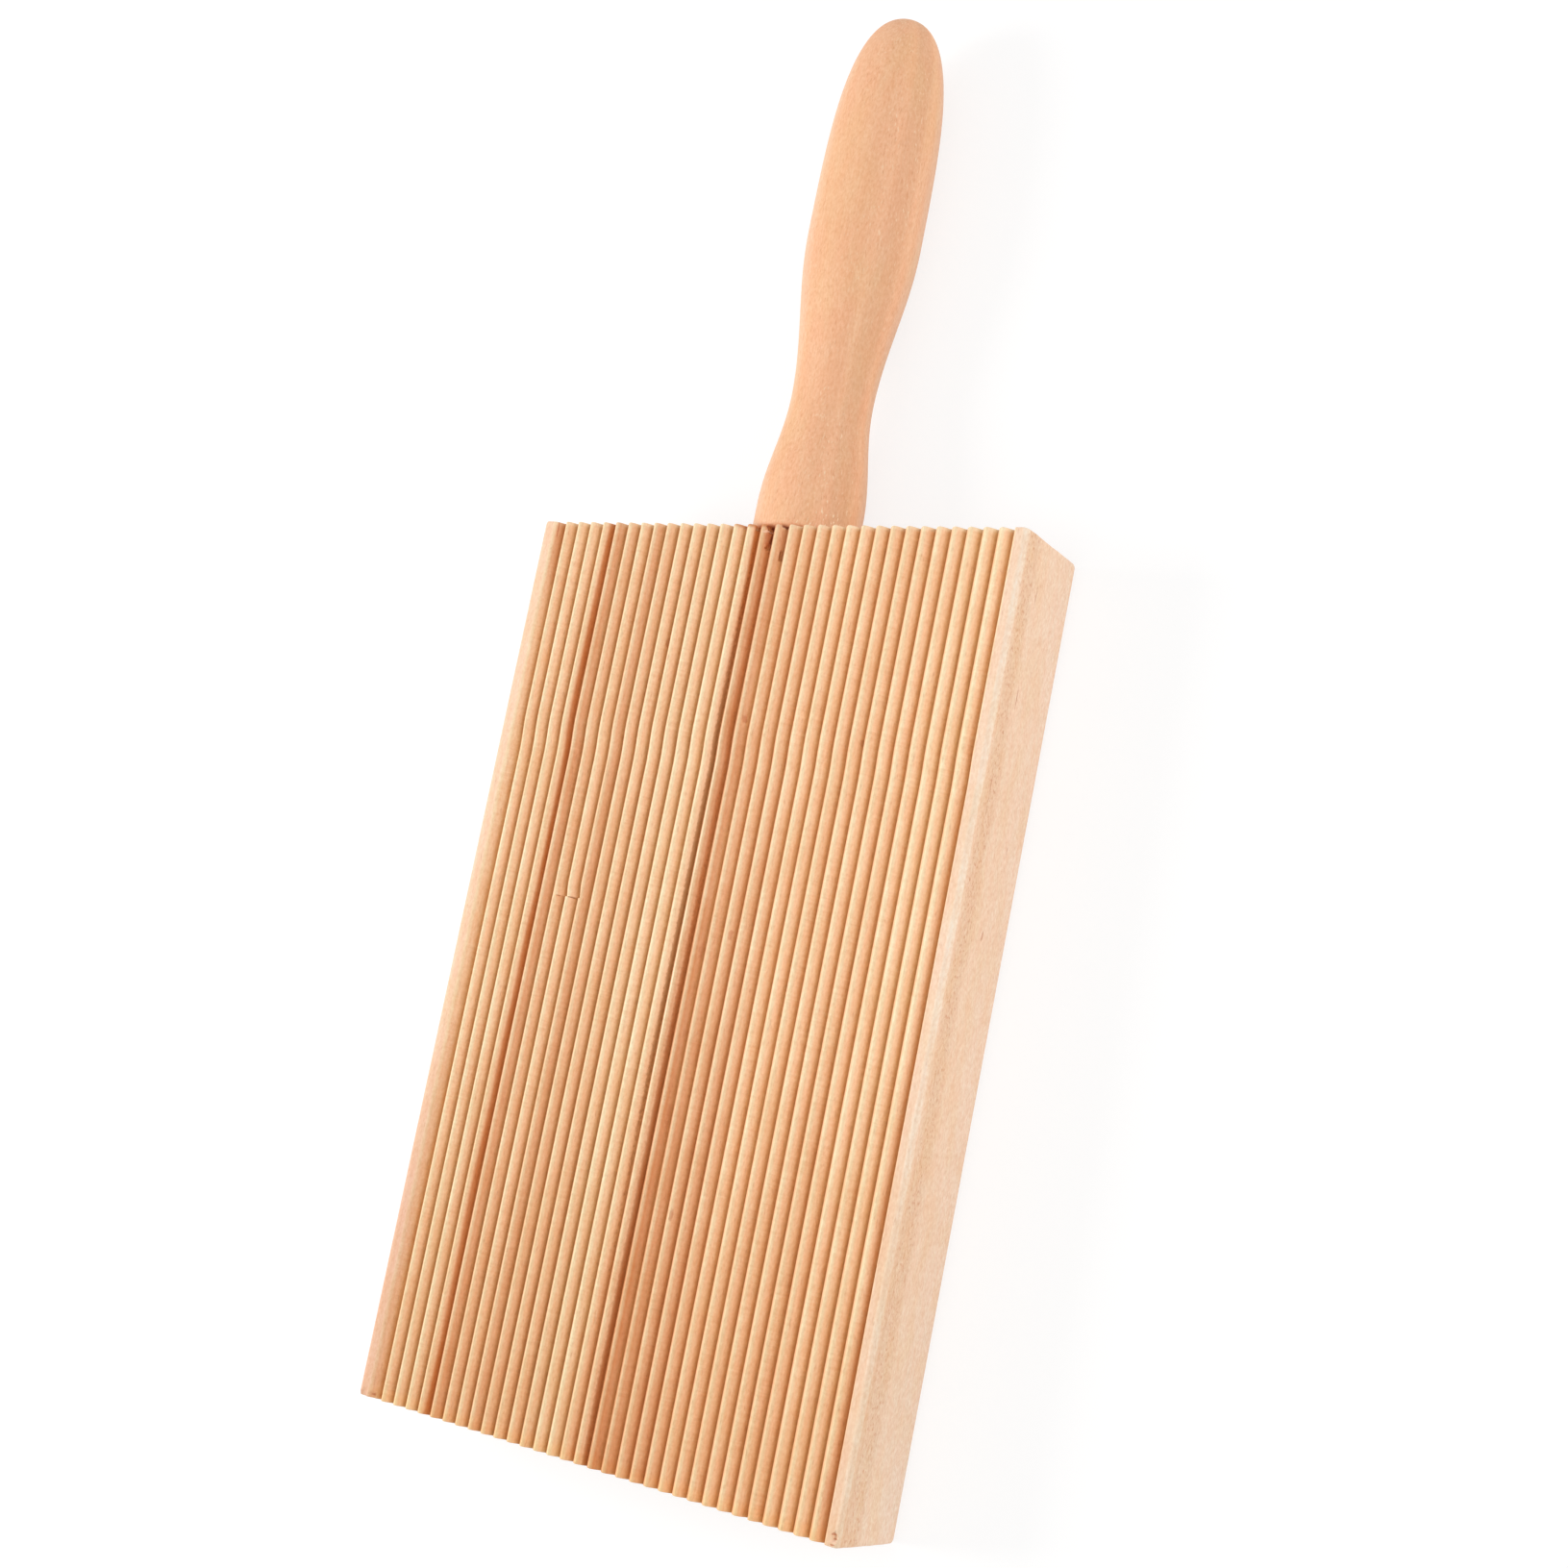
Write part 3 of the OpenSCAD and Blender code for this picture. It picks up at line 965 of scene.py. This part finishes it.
def paint_ends(wood, on_ridges):
    """Painted shade towards the free end, and the ridges' tips at both ends."""
    # Painted shade, darker towards the free end
    wood.tint(FREE_END_SHADE_TINT, wood.ramp(wood.y, *FREE_END_SHADE_Y), wood.ramp(wood.z, *FREE_END_SHADE_Z))
    wood.tint(FREE_TIP_TINT, on_ridges, wood.ramp(wood.y, *FREE_TIP_Y))
    wood.tint(LEFT_END_TINT, wood.ramp(wood.y, *LEFT_END_Y), wood.ramp(wood.x, *LEFT_END_X))
    tip = wood.product(on_ridges, wood.ramp(wood.y, *JOINT_TIP_Y))
    wood.over(TIP_COLOUR, tip, TIP_SHARE)
    wood.over(STREAK_COLOUR, tip, wood.band(wood.x, *BY_HANDLE), DARK_TIP_SHARE)


def paint_streaks(wood, regular_x, cloud, on_ridges):
    """Lighter bands and darker streaks along the ridges, which wave a little."""
    wave = wood.noise((40, 22, 40), detail=1, offset=3)
    waved = wood.math("ADD", regular_x, wood.scaled(wave, STREAK_WAVE, -STREAK_WAVE / 2))
    patchy = wood.product(wood.swing(cloud, STREAK_PATCHINESS), on_ridges,
                          wood.ramp(wood.z, *STREAK_Z, STREAK_CREST_SHARE, 1.0))
    for streaks, paint, colour, where in (
            (LIGHT_BANDS, wood.tint, LIGHT_TINT, on_ridges),
            (STREAKS, wood.over, STREAK_COLOUR, patchy)):
        for middle, half, strength, later, reached in streaks:
            along = wood.ramp(wood.y, reached, JOINT_Y, later, strength)
            paint(colour, wood.band(waved, middle, half), along, where)


def paint_marks(wood, regular_x, grains, on_ridges, on_side):
    """Dark and pale lines, spots, torn places with painted shade and splinters, and the dashes of
    the side.
    """
    ragged = wood.swing(grains, SPOT_RAGGEDNESS)
    front = wood.ramp(wood.z, *FRONT_Z)
    for spots, paint, colour, where in (
            (DARK_LINES, wood.tint, DARK_LINE_TINT, on_ridges),
            (PALE_LINES, wood.tint, PALE_LINE_TINT, on_ridges),
            (SPOTS, wood.over, SPOT_COLOUR, front),
            # Painted shade in the torn hollows
            (SHADED_HOLES, wood.over, HOLE_SHADE_COLOUR, front),
            (SPLINTERS, wood.over, SPLINTER_COLOUR, front)):
        paint(colour, spot_mask(wood, regular_x, wood.y, spots, ragged), where)
    wood.over(SPOT_COLOUR, spot_mask(wood, wood.y, wood.z, SIDE_DASHES, ragged), on_side)


def chatter_marks(wood, on_ridges):
    """Marks that the cutter left across the ridges in patches, about 0."""
    slant = wood.scaled(wood.x, CHATTER_SLANT, wood.y)
    marks = wood.noise((4.0, 0.30, 4.0), detail=1, offset=31, place=wood.combined(wood.x, slant))
    patch = wood.patches((2.0, 12, 30), 0.40, 0.62, offset=41)
    return wood.product(wood.math("SUBTRACT", marks, 0.5), patch, on_ridges)


def tone_by_ridge(wood, regular_x):
    """Noise that differs from ridge to ridge."""
    ridge = wood.math("DIVIDE", wood.math("SUBTRACT", regular_x, FIRST_VALLEY), RIDGE_PITCH)
    place = wood.combined(wood.math("FLOOR", ridge), wood.y)
    return wood.noise((0.23, 45, 1), detail=1, offset=81, place=place)


def side_swing(wood, value, on_side, amount, more):
    """Factor about 1 that swings with a noise by an amount, and by more on the right side."""
    return wood.scaled(
        wood.math("SUBTRACT", value, 0.5), wood.scaled(on_side, more, amount), 1.0)


def make_long_grain():
    """Pale beech along its grain, with the crests paler by wear and by a painted highlight, painted
    shade in the valleys, a painted highlight on the right arris, painted shade towards the free
    end, and streaks and flecks.
    """
    wood = MaterialMaker("beech_long_grain", LEFT_LAND_COLOUR)
    regular_x = regular_place(wood)
    broad = wood.noise((3.2, 150, 9), detail=3)
    fibre = wood.noise((0.30, 11, 0.30), detail=3, offset=5)
    grains = wood.noise((0.28, 0.55, 0.28), detail=3, offset=71)
    cloud = wood.noise((2.6, 8, 3), detail=3, offset=11)
    blush = wood.patches((0.9, 3.2, 0.9), *BLUSH, detail=2, offset=13)
    fleck = wood.patches((0.20, 1.3, 0.20), 0.66, 0.76, detail=1.5, offset=21)
    on_ridges = wood.product(
        wood.ramp(wood.z, *RIDGES_Z),
        wood.ramp(wood.x, *FIRST_RIDGE_X), wood.ramp(wood.x, *LAST_RIDGE_X))
    on_side = wood.ramp(wood.x, *RIGHT_SIDE_X)
    chatter = chatter_marks(wood, on_ridges)

    paint_lands(wood, on_side)
    paint_ridges(wood, on_ridges)
    wood.over(TAN_COLOUR, wood.ramp(cloud, *BOARD_TAN), TAN_SHARE)
    wood.tint(PINK_TINT, blush)
    paint_ends(wood, on_ridges)
    paint_streaks(wood, regular_x, cloud, on_ridges)
    paint_marks(wood, regular_x, grains, on_ridges, on_side)
    wood.over(STREAK_COLOUR, fleck, FLECK_SHARE)

    along_fibre = side_swing(wood, fibre, on_side, *FIBRE_SWING)
    wood.tone(
        wood.swing(broad, 0.10), along_fibre, side_swing(wood, grains, on_side, *SPECKLE_SWING),
        wood.swing(tone_by_ridge(wood, regular_x), 0.20), wood.swing(chatter, 0.24, middle=0.0))
    fibre_height = wood.product(wood.math("SUBTRACT", fibre, 0.5), along_fibre)
    height = wood.relief((fibre_height, 0.03), (chatter, 0.05), (grains, 0.03), (fleck, -0.03))
    return wood.finish(wood.scaled(fibre, *LONG_ROUGHNESS), height)


def make_end_grain():
    """Sawn end grain: growth rings as arcs, with fine pores and rays across them."""
    wood = MaterialMaker("beech_end_grain", END_COLOUR)
    bend = wood.noise((14, 14, 14))
    from_heart = wood.vector("SUBTRACT", wood.place, HEART)
    from_heart = wood.vector("LENGTH", wood.vector("MULTIPLY", from_heart, (1.0, 0.0, 1.0)))
    radius = wood.scaled(bend, GROWTH_BEND, from_heart)
    ring = wood.math("FRACT", wood.math("DIVIDE", radius, GROWTH_PITCH))
    late = wood.product(wood.ramp(ring, *LATE_WOOD_START), wood.ramp(ring, *LATE_WOOD_END))
    pores = wood.patches((0.11, 3, 0.11), 0.55, 0.72, offset=7)
    rays = wood.patches((0.16, 3, 1.3), 0.58, 0.72, offset=17)
    saw = wood.noise((9, 3, 0.35), offset=27)
    wood.over(STREAK_COLOUR, late, 0.30)
    wood.over(STREAK_COLOUR, pores, 0.28)
    wood.over(LAND_COLOUR, rays, 0.30)
    wood.colour = wood.vector("SCALE", wood.colour, Scale=wood.swing(saw, 0.20))
    return wood.finish(wood.scaled(saw, *END_ROUGHNESS), wood.relief((saw, 0.05), (pores, -0.05)))


def make_handle_wood():
    """Turned and sanded beech: peach coloured, with fine flecks along the handle, a band of painted
    shade, a painted sheen on its sides and painted shade next to the board.
    """
    wood = MaterialMaker("turned_beech", HANDLE_COLOUR, origin=(AXIS_X, JOINT_Y, AXIS_Z))
    broad = wood.noise((2.4, 60, 6), detail=3)
    fibre = wood.noise((0.22, 7, 0.22), detail=3, offset=5)
    grains = wood.noise((0.26, 0.60, 0.26), detail=3, offset=71)
    cloud = wood.noise((5, 16, 5), offset=9)
    blush = wood.patches((1.2, 6, 1.2), *BLUSH, detail=2, offset=13)
    fleck = wood.patches((0.17, 0.95, 0.17), 0.60, 0.72, detail=1.5, offset=15)
    light_fleck = wood.patches((0.20, 0.8, 0.20), 0.62, 0.72, detail=1.5, offset=35)
    crowd = wood.ramp(
        wood.noise((2.5, 25, 4), detail=1, offset=19), 0.35, 0.65, low=0.25, high=1.0)

    wood.over(TAN_COLOUR, wood.ramp(cloud, *HANDLE_TAN), HANDLE_TAN_SHARE)
    wood.tint(PINK_TINT, blush)
    around = wood.math("SUBTRACT", wood.math("ARCTAN2", wood.x, wood.z), HANDLE_FRONT)
    # Painted shade: a darker band along the handle
    wavy = wood.scaled(broad, HANDLE_SHADE_WAVE, wood.math("SUBTRACT", around, HANDLE_SHADE_WAVE / 2))
    wood.tint(HANDLE_SHADE_TINT, wood.band(wavy, HANDLE_SHADE_MIDDLE, HANDLE_SHADE_HALF))
    # Painted sheen: paler, bluer sides of the handle, away from the front
    wood.tint(HANDLE_SHEEN_TINT, wood.ramp(wood.math("ABSOLUTE", around), *HANDLE_SHEEN_ANGLES))
    away = wood.math("ABSOLUTE", wood.math("SUBTRACT", around, PALE_FLECKS_MIDDLE))
    pale_side = wood.ramp(away, *PALE_FLECKS, PALE_FLECKS_LEAST, 1.0)
    foot = wood.ramp(wood.y, *HANDLE_FOOT)
    pale = wood.scaled(foot, FOOT_PALE_SHARE, wood.product(crowd, HANDLE_PALE_SHARE))
    wood.over(TIP_COLOUR, light_fleck, pale, pale_side)
    wood.over(STREAK_COLOUR, fleck, crowd, HANDLE_FLECK_SHARE)
    # Painted shade on the handle next to the board
    by_joint = wood.scaled(cloud, HANDLE_JOINT_SHADE_WAVE, wood.y)
    wood.tint(JOINT_SHADE_TINT, wood.ramp(by_joint, *HANDLE_JOINT_SHADE))

    wood.tone(wood.swing(broad, 0.16), wood.swing(fibre, 0.20), wood.swing(grains, 0.50))
    height = wood.relief((fibre, 0.012), (fleck, -0.02), (grains, 0.02))
    return wood.finish(wood.scaled(fibre, *HANDLE_ROUGHNESS), height)


# Camera, floor and light

CAMERA_PLACE = (153.593, -54.021, 243.935)
CAMERA_AIM = (-13.94, -20.688, 15.0)
CAMERA_UP = (-0.09641, 0.97247, 0.21215)
CAMERA_LENS = 51.071
CAMERA_SENSOR = 36.0
CAMERA_SHIFT = (0.11075, 0.04238)
CAMERA_CLIP_START = 10.0
FLOOR_SIZE = 4000.0
FLOOR_DROP = 0.05
# The floor's colour for the light that it throws back, and its colour and glow as it is seen
FLOOR_COLOUR = (0.8, 0.8, 0.8, 1.0)
SEEN_FLOOR_COLOUR = (0.3, 0.3, 0.3, 1.0)
SEEN_FLOOR_GLOW = 0.75
# Share of the light on a level face that comes from the sky
SKY_SHARE = 0.58
# Lamps: name, azimuth and elevation in degrees, distance, share of the light on a face
# square to it, and size
LAMPS = [
    ("key", 190, 32, 620, 0.64, 320),
    ("fill", 5, 24, 700, 0.35, 340),
]
LIGHT_AIM = (0.0, 10.0, 10.0)


def make_camera():
    """The photograph's camera."""
    camera = add_object("camera", bpy.data.cameras.new("camera"))
    forward = (Vector(CAMERA_AIM) - Vector(CAMERA_PLACE)).normalized()
    right = forward.cross(Vector(CAMERA_UP)).normalized()
    up = right.cross(forward)
    turn = Matrix((right, up, -forward)).transposed()
    camera.matrix_world = Matrix.Translation(Vector(CAMERA_PLACE) * MM) @ turn.to_4x4()
    camera.data.lens = CAMERA_LENS
    camera.data.sensor_width = CAMERA_SENSOR
    camera.data.shift_x, camera.data.shift_y = CAMERA_SHIFT
    camera.data.clip_start = CAMERA_CLIP_START * MM
    bpy.context.scene.camera = camera


def lamp_direction(azimuth, elevation):
    """Direction towards a lamp: azimuth from +X towards +Y, elevation over the floor."""
    azimuth, elevation = math.radians(azimuth), math.radians(elevation)
    return Vector((math.cos(azimuth) * math.cos(elevation),
                   math.sin(azimuth) * math.cos(elevation), math.sin(elevation)))


def make_lamps():
    """Two soft area lamps, each with the power that gives its share at the aimed point."""
    for name, azimuth, elevation, distance, share, size in LAMPS:
        light = bpy.data.lights.new(name, "AREA")
        light.energy = share * math.pi ** 2 * (distance * MM) ** 2
        light.size = size * MM
        lamp = add_object(name, light)
        direction = lamp_direction(azimuth, elevation)
        lamp.location = (Vector(LIGHT_AIM) + direction * distance) * MM
        lamp.rotation_euler = (-direction).to_track_quat("-Z", "Y").to_euler()


def seen_share(tree):
    """1 for rays from the camera, also by way of glass or a mirror, and 0 for others."""
    path = add_node(tree, "LightPath", {})
    share = path.outputs["Is Camera Ray"]
    for name in ("Is Glossy Ray", "Is Transmission Ray"):
        inputs = {0: share, 1: path.outputs[name]}
        share = add_node(tree, "Math", inputs, operation="MAXIMUM").outputs[0]
    return share


def make_sky():
    """Even light from all around, seen as plain white."""
    world = bpy.data.worlds.new("studio")
    world.use_nodes = True
    tree = world.node_tree
    inputs = {"Value": seen_share(tree), "To Min": SKY_SHARE}
    strength = add_node(tree, "MapRange", inputs).outputs[0]
    connect(tree, tree.nodes["Background"], {"Color": (1, 1, 1, 1), "Strength": strength})
    bpy.context.scene.world = world


def make_floor():
    """A plain white floor that keeps a faint shadow."""
    half = FLOOR_SIZE * MM / 2
    corners = [(-half, -half), (half, -half), (half, half), (-half, half)]
    mesh = bpy.data.meshes.new("floor")
    mesh.from_pydata([(x, y, -FLOOR_DROP * MM) for x, y in corners], [], [(0, 1, 2, 3)])
    material = bpy.data.materials.new("white_floor")
    material.use_nodes = True
    tree = material.node_tree
    tree.nodes.remove(tree.nodes["Principled BSDF"])
    lit = add_node(tree, "BsdfDiffuse", {"Color": FLOOR_COLOUR}).outputs[0]
    shaded = add_node(tree, "BsdfDiffuse", {"Color": SEEN_FLOOR_COLOUR}).outputs[0]
    glow = add_node(tree, "Emission", {"Strength": SEEN_FLOOR_GLOW}).outputs[0]
    seen = add_node(tree, "AddShader", {0: shaded, 1: glow}).outputs[0]
    inputs = {0: seen_share(tree), 1: lit, 2: seen}
    surface = add_node(tree, "MixShader", inputs).outputs[0]
    connect(tree, tree.nodes["Material Output"], {"Surface": surface})
    mesh.materials.append(material)
    floor = add_object("floor", mesh)


bpy.context.scene.view_settings.view_transform = "Standard"
make_camera()
make_lamps()
make_sky()
make_floor()

board = make_board(make_long_grain(), make_end_grain())
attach(board, "root")
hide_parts("ridged_board")

handle = make_handle(make_handle_wood())
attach(handle, "root")
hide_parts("handle")
